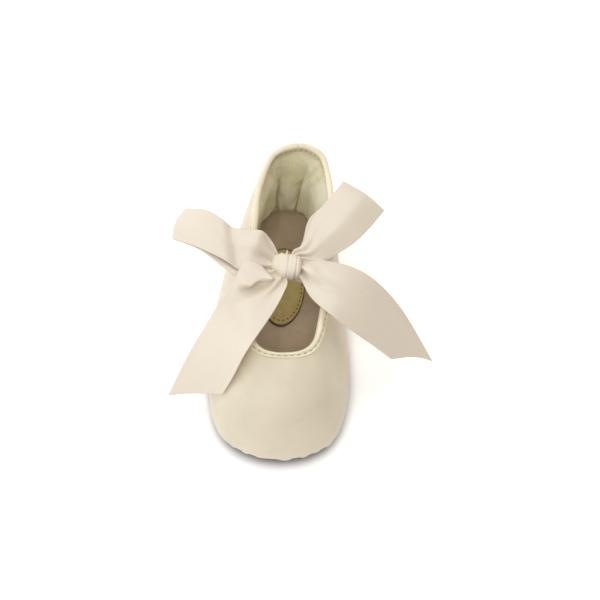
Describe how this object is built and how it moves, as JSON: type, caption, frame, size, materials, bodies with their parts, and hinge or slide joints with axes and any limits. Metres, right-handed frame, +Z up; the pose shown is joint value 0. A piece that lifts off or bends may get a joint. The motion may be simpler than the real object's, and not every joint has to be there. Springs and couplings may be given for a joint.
{
  "type": "ballet slipper",
  "caption": "Infant's soft-soled leather ballet slipper with padded heel lining, oval footbed label and satin ribbon ties knotted in a bow over the throat.",
  "frame": {"origin": "on the ground under the middle of the sole outline", "axes": "+Z up; the toe points along -Y and the heel along +Y; +X is the big-toe side of a right foot"},
  "size_m": [0.0933, 0.1143, 0.0552],
  "materials": {
    "upper_leather": "soft pigmented nappa, low sheen",
    "suede_sole": "suede split, matt",
    "sock_suede": "microsuede footbed cover, matt",
    "label_leather": "tan vegetable-tanned, waxed",
    "board": "foam-backed fibre insole board",
    "felt": "needled felt and thermoplastic fabric stiffener",
    "towelling": "brushed cotton towelling",
    "satin": "double-face polyester satin",
    "thread": "bonded polyester thread"
  },
  "bodies": {
    "shoe": {"outsole": "suede_sole", "sole_stitching": "thread", "bottom_filler": "felt", "insole_board": "board", "sock": "sock_suede", "label_patch": "label_leather", "label_stitching": "thread", "upper": "upper_leather", "toe_puff": "felt", "heel_counter": "felt", "back_seam_tape": "upper_leather", "back_seam_stitching": "thread", "vamp_lining": "towelling", "quarter_lining": "towelling", "topline_binding": "upper_leather", "topline_stitching": "thread", "ribbon_strap_left": "satin", "ribbon_strap_right": "satin", "ribbon_anchor_stitching": "thread", "bow_knot": "satin"},
    "bow_loop_left": {"bow_loop_left": "satin"},
    "bow_loop_right": {"bow_loop_right": "satin"},
    "bow_tail_left": {"bow_tail_left": "satin"},
    "bow_tail_right": {"bow_tail_right": "satin"}
  },
  "joints": [
    {"name": "loop_lift_left", "type": "hinge", "parent": "shoe", "child": "bow_loop_left", "pos_m": [-0.0042, 0.00288, 0.03899], "axis": [0.2346, 0.9721, 0], "range_deg": [0, 45]},
    {"name": "loop_lift_right", "type": "hinge", "parent": "shoe", "child": "bow_loop_right", "pos_m": [0.00498, 0.00503, 0.03999], "axis": [0.7208, -0.6931, 0], "range_deg": [0, 45]},
    {"name": "tail_lift_left", "type": "hinge", "parent": "shoe", "child": "bow_tail_left", "pos_m": [-0.00052, -0.00514, 0.03859], "axis": [-0.9481, 0.2878, 0.1354], "range_deg": [0, 35]},
    {"name": "tail_lift_right", "type": "hinge", "parent": "shoe", "child": "bow_tail_right", "pos_m": [0.00675, -0.0015, 0.03894], "axis": [-0.1029, -0.9608, -0.2574], "range_deg": [0, 35]}
  ]
}
